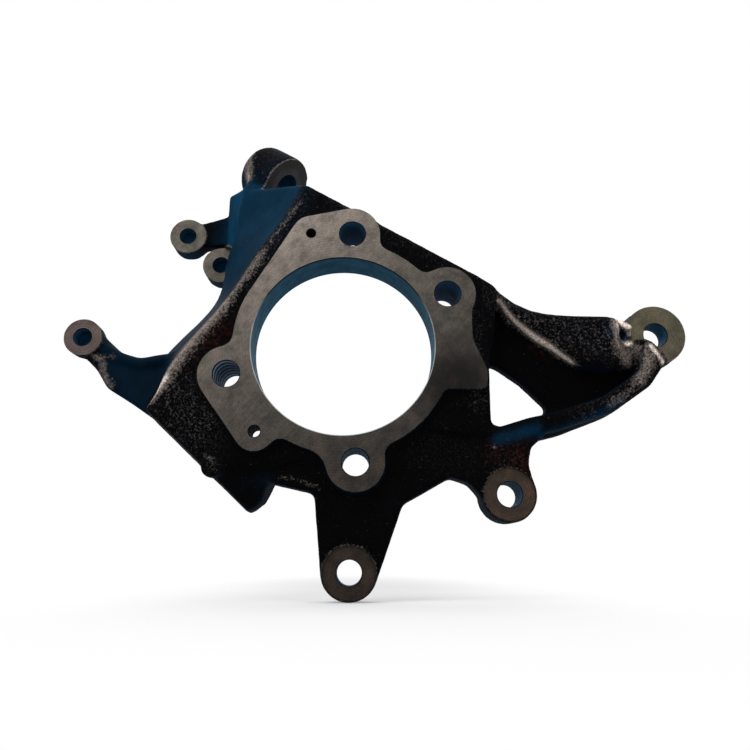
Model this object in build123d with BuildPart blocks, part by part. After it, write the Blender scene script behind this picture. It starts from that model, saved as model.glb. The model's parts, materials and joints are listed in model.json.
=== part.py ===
from build123d import *
import os
from math import cos, hypot, radians, sin, sqrt

# Steering knuckle: one iron casting with machined seats.
# The frame: origin at the centre of the hub bore on the machined hub face, +X to the right
# and +Z up as the hub face is looked at, +Y from the hub face into the casting.

# Hub seat
bore_diameter = 90.0
ring_wall = 9.0
hub_depth = 21.5
pad_height = 3.0
ring_step = 2.0
bolt_offset = 13.2
bolt_hole = 13.0
bolt_pad_radius = 14.0
bolt_pad_step = 1.0
bolt_angle_top = 85.8
bolt_angle_right = 26.9
bolt_angle_bottom = -83.6
bolt_angle_left = 195.1
bolt_boss_radius = 11.0
bolt_boss_height = 8.0
pad_corner = 6.0
pad_patch_corner = 2.0
bore_chamfer = 0.8
bore_relief = 4.0

# Small drilled holes in the hub face, with the part of the face round each
dowel_hole = 5.5
dowel_offset = 15.0
dowel_angle = 226.1
dowel_depth = 16.0
dowel_pocket = 13.0
sensor_hole = 4.5
sensor_hole_depth = 12.0
sensor_offset = 15.6
sensor_angle = 106.0
small_pad_radius = 9.5
sensor_strap_angle = 145.0
sensor_strap_radius = 3.0

# Carrier plate behind the hub face, and the spine on the left, whose flank slopes back from a
# ridge on the cast front skin
plate_back = 20.0
spine_back = 32.0
ridge_round = 3.0
foot_draft = 5.0
foot_corner = 3.0

# Lower web and caliper lugs
web_front = 5.5
web_back = 20.0
web_corner = 2.0
leg_root = (8.3, -72.0)
leg_root_radius = 21.3
caliper_hole = 12.0
caliper_lug_radius = 13.4
caliper_lug_front = 6.5
caliper_lug_back = 24.5
caliper_lug_low = (3.7, -108.4)
caliper_lug_side = (80.0, -72.2)

# Link arm on the right
arm_front = 4.0
arm_web_front = 15.0
arm_back = 24.0
arm_round = 2.5
link_hole = 12.0
link_lug_radius = 15.5
link_lug_front = 12.0
link_lug_back = 24.0
link_lug = (159.1, 9.0)
rib_width = 9.0
rib_round = 3.0
rib_end_front = 5.0
rib_end_corner = 1.0
flange_corner = 3.0
window_corner = 2.0
arm_end_below = 18.0
arm_end_above = 7.0

# Small bracket lugs on the left
bracket_hole = 8.8
bracket_hole_depth = 8.0
bracket_lug_radius = 10.0
bracket_lug_upper = (-89.7, 76.0)
bracket_lug_inner = (-70.2, 58.6)
bracket_face = 44.0
bracket_lug_depth = 12.5
bracket_arm_front = 46.0
bracket_arm_back = 55.0
bracket_arm_tip = 6.2
bracket_arm_root = 10.0
bracket_root_upper = (-58.0, 82.0)
bracket_root_inner = (-52.0, 62.0)
hose_lug = (-131.6, 6.7)
hose_lug_radius = 9.4
hose_face = 13.0
hose_lug_depth = 10.0
hose_web_front = 17.0
hose_rim_front = 14.0
hose_rim_width = 4.5
hose_web_corner = 3.0

# Upper joint boss behind the top of the spine, on a neck with a shoulder beside the flank
joint_bore = 15.0
joint_boss_radius = 17.0
joint_boss_length = 25.0
joint_boss_centre = (-43.5, 45.5, 112.6)
joint_boss_dome = 8.0
joint_seat_radius = 24.0
joint_neck_back = 55.0
shoulder_low = 65.0
shoulder_high = 100.5
joint_neck_corner = 4.0
joint_axis = (0.72, -0.36, -0.59)

# Knob left by the pouring gate on the lower left edge
gate_place = (-61.5, -59.5)
gate_radius = 5.5
gate_height = 1.5

# Shapes run past the faces that trim them by the overrun or the stock, and a cut that goes
# right through is as long and as wide as this
overrun = 1.0
casting_stock = 6.0
through = 80.0
across = 400.0
tiny = 0.01


def front_plane(depth):
    """Drawing plane parallel to the hub face, that far behind it, with X right and Z up."""
    return Plane.XZ.offset(-depth)


def polar(radius, angle):
    """Point of the hub face at a radius and an angle from the bore axis."""
    return (radius * cos(radians(angle)), radius * sin(radians(angle)))


def strap(start, start_radius, end, end_radius):
    """Outline wrapped round two circles, added to the sketch in hand."""
    with BuildLine() as circles:
        CenterArc(start, start_radius, 0, 360)
        CenterArc(end, end_radius, 0, 360)
    make_hull(circles.edges())


def patch(points, radius=0.0):
    """Outline through the points, its corners rounded where a radius is given."""
    with BuildLine() as outline:
        if radius > 0:
            FilletPolyline(*points, radius=radius, close=True)
        else:
            Polyline(*points, close=True)
    make_face(outline.edges())


def corner(first, first_radius, second, second_radius, radius, side):
    """Fill the corner between two discs and round it; side 1 is left of the way across."""
    step = (second[0] - first[0], second[1] - first[1])
    gap = hypot(*step)
    reach = first_radius + radius
    along = (reach**2 - (second_radius + radius) ** 2 + gap**2) / (2 * gap)
    rise = side * sqrt(reach**2 - along**2)
    centre = (
        first[0] + (along * step[0] - rise * step[1]) / gap,
        first[1] + (along * step[1] + rise * step[0]) / gap,
    )
    patch((first, second, centre))
    with Locations(centre):
        Circle(radius, mode=Mode.SUBTRACT)


ring_radius = bore_diameter / 2 + ring_wall
bolt_angles = (bolt_angle_top, bolt_angle_right, bolt_angle_bottom, bolt_angle_left)
bolt_places = [polar(bore_diameter / 2 + bolt_offset, angle) for angle in bolt_angles]
top_bolt, right_bolt, bottom_bolt, left_bolt = bolt_places
bore_centre = (0, 0)
dowel_place = polar(bore_diameter / 2 + dowel_offset, dowel_angle)
sensor_place = polar(bore_diameter / 2 + sensor_offset, sensor_angle)
sensor_strap_end = polar(ring_radius - sensor_strap_radius, sensor_strap_angle)

# The machined hub face: a ring with a round pad at each bolt, straps out to the two small
# holes, and a patch that widens it on the right, all standing on the cast skin
face_patch = ((45, 16), (63.5, 20), (63.5, 3), (70.5, -13), (70, -22), (45, -22))
with BuildPart() as hub_pad:
    with BuildSketch(front_plane(0)):
        Circle(ring_radius)
        strap(sensor_place, small_pad_radius, top_bolt, bolt_pad_radius)
        strap(sensor_place, small_pad_radius, sensor_strap_end, sensor_strap_radius)
        strap(dowel_place, small_pad_radius, left_bolt, bolt_pad_radius)
        patch(face_patch, pad_patch_corner)
        with Locations(right_bolt, bottom_bolt):
            Circle(bolt_pad_radius)
        for place, side in ((top_bolt, -1), (right_bolt, 1), (bottom_bolt, 1), (left_bolt, -1)):
            corner(bore_centre, ring_radius, place, bolt_pad_radius, pad_corner, side)
        corner(bore_centre, ring_radius, bottom_bolt, bolt_pad_radius, 2 * pad_corner, -1)
        corner(bore_centre, ring_radius, dowel_place, small_pad_radius, pad_corner, 1)
    extrude(amount=-pad_height - overrun)

# The cast ring behind the hub face, with a boss behind the top and the right bolt
with BuildPart() as hub_ring:
    with BuildSketch(front_plane(pad_height)):
        Circle(ring_radius + ring_step)
        for place in bolt_places:
            strap(bore_centre, bore_diameter / 2, place, bolt_pad_radius + bolt_pad_step)
    extrude(amount=pad_height - hub_depth)
    with BuildSketch(front_plane(hub_depth - overrun)):
        with Locations(top_bolt, right_bolt):
            Circle(bolt_boss_radius)
    extrude(amount=-bolt_boss_height - overrun)

# Spine: level sections from the top down, each with the height, the ridge on the cast face,
# the foot of the flank at the back and the inner wall
sections = (
    (104, -12, -53.5, 6),
    (86.5, -20.5, -57.2, 2),
    (70, -28.3, -61.6, -6),
    (50, -42, -66, -20),
    (29, -54.5, -71.5, -41),
    (10, -68.5, -88, -50),
    (-8, -82.3, -99, -50),
    (-31.5, -95.5, -99, -42),
)
spine_depth = spine_back - pad_height
spine_top = ((pad_height - casting_stock, 84.3), (pad_height, 87), (spine_back, 98.5),
             (spine_back + overrun, 98.9), (spine_back + overrun, 110),
             (pad_height - casting_stock, 110))
long_edge = ((-20.5, 87.8), (20, 65), (20, 120), (-20.5, 120))
with BuildPart() as spine:
    for height, ridge, foot, inner in sections:
        front = ridge + (ridge - foot) * casting_stock / spine_depth
        with BuildSketch(Plane.XY.offset(height)):
            patch(
                (
                    (front, pad_height - casting_stock),
                    (foot, spine_back),
                    (inner, spine_back),
                    (inner, pad_height - casting_stock),
                )
            )
    loft()
    with BuildSketch(Plane.YZ):
        patch(spine_top)
    extrude(amount=across / 2, both=True, mode=Mode.SUBTRACT)
    with BuildSketch(front_plane(pad_height - casting_stock)):
        patch(long_edge)
    extrude(amount=-through, mode=Mode.SUBTRACT)

# Carrier plate on the front, and the lower end of the spine with its sloped foot
plate_outline = ((-19, 87), (77, 32.4), (75.5, 10), (72, -8), (72, -44), (60, -44), (30, -40),
                 (-36, -62), (-62, -62), (-90, -34), (-60, 0), (-50, 30), (-30, 55))
foot_outline = ((-98.5, -32), (-46, -81), (-38, -75), (-33, -64), (-30, -30), (-60, -5),
                (-85, -20))
foot_slope = ((pad_height - overrun, -58), (26, -83), (pad_height - overrun, -83))
with BuildPart() as plate:
    with BuildSketch(front_plane(pad_height)):
        patch(plate_outline)
    extrude(amount=pad_height - plate_back)
    with BuildSketch(front_plane(spine_back)):
        patch(foot_outline, foot_corner)
    extrude(amount=spine_depth, taper=foot_draft)
    with BuildSketch(Plane.YZ):
        patch(foot_slope)
    extrude(amount=across / 2, both=True, mode=Mode.SUBTRACT)

# Lower web, with the leg down to the low caliper lug and the neck to the side one
neck = ((44, -40), (49, -63), (61, -67), (70, -78), (92.7, -68.3), (89.8, -58.2), (91.2, -50), (98, -44),
        (72, -38))
web_outline = ((-36, -45), (-36, -66.5), (-14, -71.5), (31, -76), (52, -64), (60, -40))
with BuildPart() as lower_web:
    with BuildSketch(front_plane(web_front)):
        strap(caliper_lug_low, caliper_lug_radius, leg_root, leg_root_radius)
        patch(web_outline, web_corner)
        patch(neck)
        with Locations(caliper_lug_side):
            Circle(caliper_lug_radius)
    extrude(amount=web_front - web_back)
    with BuildSketch(front_plane(caliper_lug_front)):
        with Locations(caliper_lug_low, caliper_lug_side):
            Circle(caliper_lug_radius)
    extrude(amount=caliper_lug_front - caliper_lug_back)

# Link arm: a web with a raised upper flange and a lower rib that runs round to the lug
lug_x, lug_z = link_lug
arm_top = ((66, 38.7), (78, 30.6), (86, 23.9), (94.5, 19.8), (102.5, 18), (114.7, 17.2))
upper_flange = (*arm_top, (lug_x - 23, lug_z + 7.8), (lug_x - 25, lug_z - 21), (117.3, -8),
                (98, 4), (83.5, 14.3), (76.5, 25), (66, 25))
arm_outline = (*arm_top, (lug_x - 11, lug_z + 7.8),
               (lug_x + 3, lug_z - 13), (lug_x - 9, lug_z - 28), (lug_x - 28, lug_z - 42),
               (108, -42), (92, -46), (66, -46))
window = ((72, -6), (77.5, -7), (89.5, -15.5), (103, -29), (100, -32), (76, -39.8),
          (72, -37))
rib_path = ((74, -43), (104, -36.8), (lug_x - 28, lug_z - 37), (lug_x - 10, lug_z - 24.5),
            (lug_x - 2, lug_z - 13.5))
rib_end = ((lug_x - 5.9, lug_z - 3.6), (lug_x + 1.1, lug_z - 11.1), (lug_x + 2.3, lug_z - 14.5),
           (lug_x - 4, lug_z - 21), (lug_x - 11, lug_z - 20), (lug_x - 8.4, lug_z - 7))
with BuildPart() as flange:
    with BuildSketch(front_plane(arm_front)):
        patch(upper_flange, flange_corner)
    extrude(amount=arm_front - arm_back)
    fillet(flange.faces().sort_by(Axis.Y)[0].edges(), arm_round)

with BuildPart() as rib:
    with BuildSketch(front_plane(arm_front)):
        for start, end in zip(rib_path, rib_path[1:]):
            strap(start, rib_width / 2, end, rib_width / 2)
    extrude(amount=arm_front - arm_back)
    fillet(rib.faces().sort_by(Axis.Y)[0].edges(), rib_round)

arm_end = ((lug_x - 27, arm_front), (lug_x - 23.6, arm_front), (lug_x - 13, link_lug_front),
           (lug_x - 13, arm_back), (lug_x - 27, arm_back))
with BuildPart() as arm:
    with BuildSketch(front_plane(arm_web_front)):
        patch(arm_outline)
    extrude(amount=arm_web_front - arm_back)
    add(flange.part)
    add(rib.part)
    with BuildSketch(front_plane(link_lug_front)):
        with Locations(link_lug):
            Circle(link_lug_radius)
    extrude(amount=link_lug_front - link_lug_back)
    with BuildSketch(front_plane(rib_end_front)):
        patch(rib_end, rib_end_corner)
    extrude(amount=rib_end_front - link_lug_back)
    with BuildSketch(Plane.XY.offset(lug_z - arm_end_below)):
        patch(arm_end)
    extrude(amount=arm_end_below + arm_end_above)

# Bracket lugs behind the flank, and the hose lug at the end of its own web
hose_web = ((-134, 0), (-124, 10), (-113, 0), (-103, -3), (-80, 2), (-80, -20), (-95, -34),
            (-106, -26.5), (-119, -18.5), (-124, -10))
hose_rims = (((-127, 5), (-113, -3), (-103, -6), (-92, -4)), ((-126, 2), (-121, -10), (-116, -17)))
with BuildPart() as brackets:
    with BuildSketch(front_plane(bracket_face)):
        with Locations(bracket_lug_upper, bracket_lug_inner):
            Circle(bracket_lug_radius)
    extrude(amount=-bracket_lug_depth)
    with BuildSketch(front_plane(bracket_arm_front)):
        strap(bracket_lug_upper, bracket_arm_tip, bracket_root_upper, bracket_arm_root)
        strap(bracket_lug_inner, bracket_arm_tip, bracket_root_inner, bracket_arm_root)
    extrude(amount=bracket_arm_front - bracket_arm_back)
    with BuildSketch(front_plane(hose_face)):
        with Locations(hose_lug):
            Circle(hose_lug_radius)
    extrude(amount=-hose_lug_depth)
    with BuildSketch(front_plane(hose_web_front)):
        patch(hose_web, hose_web_corner)
    extrude(amount=hose_web_front - hose_face - hose_lug_depth)
    with BuildSketch(front_plane(hose_rim_front)):
        for path in hose_rims:
            for start, end in zip(path, path[1:]):
                strap(start, hose_rim_width / 2, end, hose_rim_width / 2)
    extrude(amount=hose_rim_front - hose_web_front - overrun)

# Upper joint boss, and the neck and the shoulder that join it to the back of the spine
joint_neck = ((-60, 50), (-44, 48), (-24, 70), (-26, 104), (-36, 110), (-48, 110), (-56, 104),
              (-60, 85))
shoulder = ((-56, spine_back - overrun), (-67, 42), (-67, joint_neck_back),
            (-26, joint_neck_back), (-26, spine_back - overrun))
joint_plane = Plane(origin=joint_boss_centre, z_dir=joint_axis)
with BuildPart() as joint_boss:
    with BuildSketch(joint_plane):
        Circle(joint_boss_radius)
    extrude(amount=joint_boss_length / 2, both=True)
    fillet(joint_boss.edges().sort_by(Axis.X)[0], joint_boss_dome)
    with BuildSketch(front_plane(spine_back - overrun)):
        patch(joint_neck, joint_neck_corner)
    extrude(amount=spine_back - overrun - joint_neck_back)
    with BuildSketch(Plane.XY.offset(shoulder_low)):
        patch(shoulder)
    extrude(amount=shoulder_high - shoulder_low)
    with BuildSketch(joint_plane.offset(joint_boss_length / 2)):
        Circle(joint_seat_radius)
    extrude(amount=joint_boss_length, mode=Mode.SUBTRACT)

# The rough casting
with BuildPart() as knuckle_casting:
    add(spine.part)
    add(plate.part)
    add(hub_ring.part)
    with BuildSketch(front_plane(pad_height)):
        Rectangle(across, across)
    extrude(amount=casting_stock + overrun, mode=Mode.SUBTRACT)
    height, ridge, foot, inner = sections[4]
    ridge_point = (ridge, pad_height, height)
    fillet(knuckle_casting.edges().sort_by_distance(ridge_point)[0], ridge_round)
    add(lower_web.part)
    add(arm.part)
    add(brackets.part)
    add(joint_boss.part)
    add(hub_pad.part)
    with BuildSketch(front_plane(pad_height - gate_height)):
        with Locations(gate_place):
            Circle(gate_radius)
    extrude(amount=-gate_height - casting_stock)

    # The window between the arm and the carrier
    with BuildSketch(front_plane(-overrun)):
        patch(window, window_corner)
    extrude(amount=-through, mode=Mode.SUBTRACT)

    # The drilled and bored holes, from their front faces
    with BuildSketch(front_plane(-overrun)):
        Circle(bore_diameter / 2)
    extrude(amount=-through, mode=Mode.SUBTRACT)
    with BuildSketch(front_plane(hub_depth)):
        Circle(bore_diameter / 2 + bore_relief)
    extrude(amount=-through, mode=Mode.SUBTRACT)
    with BuildSketch(front_plane(dowel_depth)):
        with Locations(dowel_place):
            Circle(dowel_pocket / 2)
    extrude(amount=-through, mode=Mode.SUBTRACT)
    with BuildSketch(front_plane(-overrun)):
        with Locations(caliper_lug_low, caliper_lug_side):
            Circle(caliper_lug_radius + overrun)
    extrude(amount=-caliper_lug_front - overrun, mode=Mode.SUBTRACT)
    holes = (
        (bolt_places, bolt_hole, -overrun, through),
        ([dowel_place], dowel_hole, -overrun, through),
        ([sensor_place], sensor_hole, -overrun, sensor_hole_depth + overrun),
        ([caliper_lug_low, caliper_lug_side], caliper_hole, 0, through),
        ([link_lug], link_hole, 0, through),
        ([bracket_lug_upper, bracket_lug_inner], bracket_hole, bracket_face - overrun,
         bracket_hole_depth + overrun),
        ([hose_lug], bracket_hole, hose_face - overrun, bracket_hole_depth + overrun),
    )
    for places, diameter, front, depth in holes:
        with BuildSketch(front_plane(front)):
            with Locations(places):
                Circle(diameter / 2)
        extrude(amount=-depth, mode=Mode.SUBTRACT)
    with BuildSketch(joint_plane):
        Circle(joint_bore / 2)
    extrude(amount=joint_boss_length / 2 + overrun, both=True, mode=Mode.SUBTRACT)
    bore_edges = knuckle_casting.edges().filter_by(GeomType.CIRCLE)
    bore_edges = bore_edges.filter_by(lambda edge: abs(edge.radius - bore_diameter / 2) < tiny)
    chamfer(bore_edges.sort_by(Axis.Y)[-1], bore_chamfer)

knuckle_casting.part.label = "knuckle_casting"
os.makedirs("parts", exist_ok=True)
export_step(knuckle_casting.part, "parts/knuckle_casting.step")
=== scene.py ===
import json
import math
from functools import partial

import bmesh
import bpy
import numpy as np
from bpy.props import FloatProperty, FloatVectorProperty, IntProperty, PointerProperty
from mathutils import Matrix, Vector
from mathutils.kdtree import KDTree


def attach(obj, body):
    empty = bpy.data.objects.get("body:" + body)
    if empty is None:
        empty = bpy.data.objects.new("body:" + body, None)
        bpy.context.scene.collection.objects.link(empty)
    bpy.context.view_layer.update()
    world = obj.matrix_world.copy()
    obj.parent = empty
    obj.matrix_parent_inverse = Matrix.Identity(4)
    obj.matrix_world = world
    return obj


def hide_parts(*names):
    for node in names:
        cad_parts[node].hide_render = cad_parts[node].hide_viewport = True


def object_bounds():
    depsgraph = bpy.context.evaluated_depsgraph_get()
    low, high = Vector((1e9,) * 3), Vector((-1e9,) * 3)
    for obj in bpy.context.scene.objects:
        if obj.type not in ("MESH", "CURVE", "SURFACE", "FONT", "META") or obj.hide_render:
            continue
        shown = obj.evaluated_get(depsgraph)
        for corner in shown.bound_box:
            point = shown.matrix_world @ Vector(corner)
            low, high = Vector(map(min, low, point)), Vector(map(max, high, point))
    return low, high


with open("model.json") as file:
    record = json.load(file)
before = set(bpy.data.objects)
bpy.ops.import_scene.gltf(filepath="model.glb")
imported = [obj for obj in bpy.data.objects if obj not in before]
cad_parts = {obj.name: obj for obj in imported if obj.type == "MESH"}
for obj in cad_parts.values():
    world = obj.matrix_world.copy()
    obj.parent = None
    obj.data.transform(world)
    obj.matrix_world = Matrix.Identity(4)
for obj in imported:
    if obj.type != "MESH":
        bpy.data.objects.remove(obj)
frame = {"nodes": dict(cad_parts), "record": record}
CAD_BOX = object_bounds()
CASTING_NODE = "knuckle_casting"
MOUNTS = {mount["name"]: mount for mount in frame["record"]["mounts"]}
MM = 0.001

bl_info = {
    "name": "Steering knuckle",
    "version": (1, 0, 0),
    "blender": (4, 5, 0),
    "location": "View3D > Sidebar > Knuckle",
    "description": "A cast iron wheel carrier: cast skin, machined seats, drilled holes and a stage",
    "category": "Object",
}


def linear(code):
    """Turn an sRGB hex colour into linear red, green and blue."""
    channels = [int(code[i:i + 2], 16) / 255 for i in (1, 3, 5)]
    return tuple(c / 12.92 if c <= 0.04045 else ((c + 0.055) / 1.055) ** 2.4 for c in channels)


def per_metre(millimetres):
    """Texture scale, in repeats a metre, of a pattern whose features are this many mm apart."""
    return 1000.0 / millimetres


def wave_scale(millimetres):
    """Scale of a wave texture whose crests are this many mm apart."""
    return per_metre(millimetres) * math.pi / 10


def add_node(tree, kind, inputs=None, **settings):
    """Add a node, set its properties, and fill each input with a value or a link."""
    node = tree.nodes.new(kind)
    for name, value in settings.items():
        setattr(node, name, value)
    for name, value in (inputs or {}).items():
        if isinstance(value, bpy.types.NodeSocket):
            tree.links.new(value, node.inputs[name])
        else:
            node.inputs[name].default_value = value
    return node


def new_material(name):
    """Empty material, a way to add nodes to it, and the object coordinates of the piece."""
    material = bpy.data.materials.new(name)
    material.use_nodes = True
    material.node_tree.nodes.clear()
    add = partial(add_node, material.node_tree)
    return material, add, add("ShaderNodeTexCoord").outputs["Object"]


def surface(add, colour, rough, height, strength, depth, metallic, specular=0.5):
    """End a material with its colour, its roughness and a bump, whose depth is in mm."""
    bump = add("ShaderNodeBump", {
        "Height": height, "Strength": strength, "Distance": depth * MM}).outputs["Normal"]
    shader = add("ShaderNodeBsdfPrincipled", {
        "Base Color": colour, "Roughness": rough, "Normal": bump, "Metallic": metallic,
        "Specular IOR Level": specular})
    add("ShaderNodeOutputMaterial", {"Surface": shader.outputs["BSDF"]})


def cast_skin(props):
    """Grey iron cast in sand and dipped in a thin black coat: dead matt black, with painted glints
    on a fine sand grain where the masks ask for it, rubbed down to brown-grey iron on the ridges
    with painted highlights there, and smooth and blue-black on the flank, with a painted bluish
    reflection on sides and undersides. Real sand grain is 0.3 mm, drawn at 0.9."""
    material, add, place = new_material("sand_cast_iron_black_coat")
    mask = {name: add("ShaderNodeAttribute", attribute_name=name).outputs["Fac"]
            for name in ("smooth", "blue", "wear_and_highlight", "grit_glint", "rust")}
    noise = {}
    for name, size, detail in (("coarse", 1.9, 3.0), ("fine", 0.9, 2.0), ("patchy", 13.0, 3.0)):
        noise[name] = add("ShaderNodeTexNoise", {
            "Vector": place, "Scale": per_metre(size), "Detail": detail,
            "Roughness": 0.6}).outputs["Fac"]

    # The blue mask paints the flank blue-grey, and paints a bluish reflection and painted light on
    # sides, undersides and the shoulder
    coat = add("ShaderNodeMix", {
        "Factor": mask["blue"], 6: (*props.coat_colour, 1), 7: (*props.flank_and_sheen_colour, 1)},
        data_type="RGBA").outputs[2]
    cloud = add("ShaderNodeMapRange", {
        "Value": noise["patchy"], "From Min": 0.3, "From Max": 0.7,
        "To Min": 0.72, "To Max": 1.28}).outputs["Result"]
    cloud = add("ShaderNodeMath", {0: noise["fine"], 1: 0.5, 2: cloud},
                operation="MULTIPLY_ADD").outputs[0]
    cloud = add("ShaderNodeMath", {0: cloud, 1: 0.25}, operation="SUBTRACT").outputs[0]
    coat = add("ShaderNodeMix", {"Factor": 1.0, 6: coat, 7: cloud},
               data_type="RGBA", blend_type="MULTIPLY").outputs[2]

    # Painted glints: sand grain drawn lighter where it would catch the light
    grain = add("ShaderNodeMapRange", {
        "Value": noise["fine"], "From Min": 0.5, "From Max": 0.7}).outputs["Result"]
    bunch = add("ShaderNodeMapRange", {
        "Value": noise["coarse"], "From Min": 0.36, "From Max": 0.62,
        "To Min": 0.25, "To Max": 1.6}).outputs["Result"]
    grain = add("ShaderNodeMath", {0: grain, 1: bunch}, operation="MULTIPLY").outputs[0]
    grain = add("ShaderNodeMath", {0: grain, 1: mask["grit_glint"]},
                operation="MULTIPLY", use_clamp=True).outputs[0]
    coat = add("ShaderNodeMix", {
        "Factor": grain, 6: coat, 7: (*props.grain_glint_colour, 1)}, data_type="RGBA").outputs[2]

    # Rubbed iron: whole on the ridges, broken into grains at their edges. From strength 1 up it is
    # also a painted highlight, made brighter by the gain
    level = add("ShaderNodeMath", {0: noise["coarse"], 1: noise["fine"]},
                operation="ADD").outputs[0]
    level = add("ShaderNodeMath", {0: mask["wear_and_highlight"], 1: 1.1, 2: level},
                operation="MULTIPLY_ADD").outputs[0]
    worn_and_lit = add("ShaderNodeMapRange", {
        "Value": level, "From Min": 1.28, "From Max": 2.1}).outputs["Result"]
    tone = add("ShaderNodeMapRange", {
        "Value": noise["fine"], "From Min": 0.34, "From Max": 0.68,
        "To Min": 0.4, "To Max": 1.6}).outputs["Result"]
    bright = add("ShaderNodeMapRange", {
        "Value": mask["wear_and_highlight"], "From Min": 1.0, "From Max": 3.0,
        "To Min": 1.0, "To Max": 12.0}).outputs["Result"]
    tone = add("ShaderNodeMath", {0: tone, 1: bright}, operation="MULTIPLY").outputs[0]
    iron = add("ShaderNodeMix", {
        "Factor": 1.0, 6: (*props.bare_colour, 1), 7: tone}, data_type="RGBA",
        blend_type="MULTIPLY").outputs[2]
    coat = add("ShaderNodeMix", {"Factor": worn_and_lit, 6: coat, 7: iron}, data_type="RGBA").outputs[2]

    rusty = add("ShaderNodeMapRange", {
        "Value": noise["coarse"], "From Min": 0.46, "From Max": 0.62}).outputs["Result"]
    rusty = add("ShaderNodeMath", {0: rusty, 1: mask["rust"]},
                operation="MULTIPLY", use_clamp=True).outputs[0]
    coat = add("ShaderNodeMix", {
        "Factor": rusty, 6: coat, 7: (*props.rust_colour, 1)}, data_type="RGBA").outputs[2]

    rough = add("ShaderNodeMapRange", {
        "Value": mask["smooth"], "To Min": 0.75, "To Max": 0.62}).outputs["Result"]
    grainy = add("ShaderNodeMapRange", {
        "Value": mask["smooth"], "To Min": 1.0, "To Max": 0.12}).outputs["Result"]
    height = add("ShaderNodeMath", {0: noise["fine"], 1: 0.5, 2: noise["coarse"]},
                 operation="MULTIPLY_ADD").outputs[0]
    height = add("ShaderNodeMath", {0: height, 1: grainy}, operation="MULTIPLY").outputs[0]
    surface(add, coat, rough, height, strength=0.7, depth=0.5, metallic=0.0, specular=0.02)
    return material


def faced_iron(name, centre, tone, light_slope=None, rings=0.15, tone_spot=None, rust=0.0):
    """Grey iron faced by a cutter turning about the centre: bare, brown-grey with a thin oxide,
    clouded and scratched, with turned rings. A light slope, where one is given, paints it lighter
    along its direction as painted light. A tone spot is a place, the two distances between which it
    ends, and the factor inside it: a painted shade below 1 and lighter iron over 1. Real feed marks
    are 0.2 mm apart and scratches 0.1 mm wide, drawn at 1.4 and 1.6."""
    material, add, place = new_material(name)
    centred = add("ShaderNodeMapping", {
        "Vector": place, "Location": (-centre[0], -centre[1], -centre[2])}).outputs["Vector"]
    turned = add("ShaderNodeTexWave", {
        "Vector": centred, "Scale": wave_scale(1.4), "Distortion": 2.5,
        "Detail": 2.0, "Detail Scale": 0.5}, wave_type="RINGS", rings_direction="Y").outputs["Fac"]
    cloud = add("ShaderNodeTexNoise", {
        "Vector": place, "Scale": per_metre(8), "Detail": 5.0, "Roughness": 0.66}).outputs["Fac"]
    fine = add("ShaderNodeTexNoise", {
        "Vector": place, "Scale": per_metre(1.2), "Detail": 3.0, "Roughness": 0.7}).outputs["Fac"]
    drawn = add("ShaderNodeMapping", {
        "Vector": place, "Rotation": (0, math.radians(40), 0),
        "Scale": (1.0, 1.0, 9.0)}, vector_type="TEXTURE").outputs["Vector"]
    scratch = add("ShaderNodeTexNoise", {
        "Vector": drawn, "Scale": per_metre(1.6), "Detail": 3.0}).outputs["Fac"]

    parts = [
        add("ShaderNodeMapRange", {
            "Value": value, "From Min": low, "From Max": high, "To Min": weakest,
            "To Max": strongest}).outputs["Result"]
        for value, low, high, weakest, strongest in (
            (cloud, 0.36, 0.64, 0.66, 1.34), (fine, 0.32, 0.68, 0.74, 1.26),
            (scratch, 0.36, 0.66, 0.9, 1.1), (turned, 0.0, 1.0, 1 - rings, 1 + rings))]
    if light_slope:
        along = add("ShaderNodeVectorMath", {0: place, 1: light_slope}, operation="DOT_PRODUCT")
        parts.append(add("ShaderNodeMath", {0: math.e, 1: along.outputs["Value"]},
                         operation="POWER").outputs[0])
    if tone_spot:
        spot, inner, outer, inside = tone_spot
        gap = add("ShaderNodeVectorMath", {0: place, 1: spot}, operation="DISTANCE")
        parts.append(add("ShaderNodeMapRange", {
            "Value": gap.outputs["Value"], "From Min": inner, "From Max": outer,
            "To Min": inside}, interpolation_type="SMOOTHSTEP").outputs["Result"])
    shade = 1.0
    for part in parts:
        shade = add("ShaderNodeMath", {0: part, 1: shade}, operation="MULTIPLY").outputs[0]
    colour = add("ShaderNodeMix", {
        "Factor": 1.0, 6: (*tone, 1), 7: shade}, data_type="RGBA",
        blend_type="MULTIPLY").outputs[2]
    if rust > 0:
        spots = add("ShaderNodeMapRange", {
            "Value": cloud, "From Min": 0.54, "From Max": 0.7, "To Max": rust}).outputs["Result"]
        colour = add("ShaderNodeMix", {
            "Factor": spots, 6: colour, 7: (*linear("#4c2a1a"), 1)},
            data_type="RGBA").outputs[2]
    rough = add("ShaderNodeMapRange", {
        "Value": fine, "From Min": 0.3, "From Max": 0.7,
        "To Min": 0.45, "To Max": 0.62}).outputs["Result"]
    height = add("ShaderNodeMath", {0: turned, 1: 0.5, 2: fine},
                 operation="MULTIPLY_ADD").outputs[0]
    surface(add, colour, rough, height, strength=0.35, depth=0.15, metallic=0.8)
    return material


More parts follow.
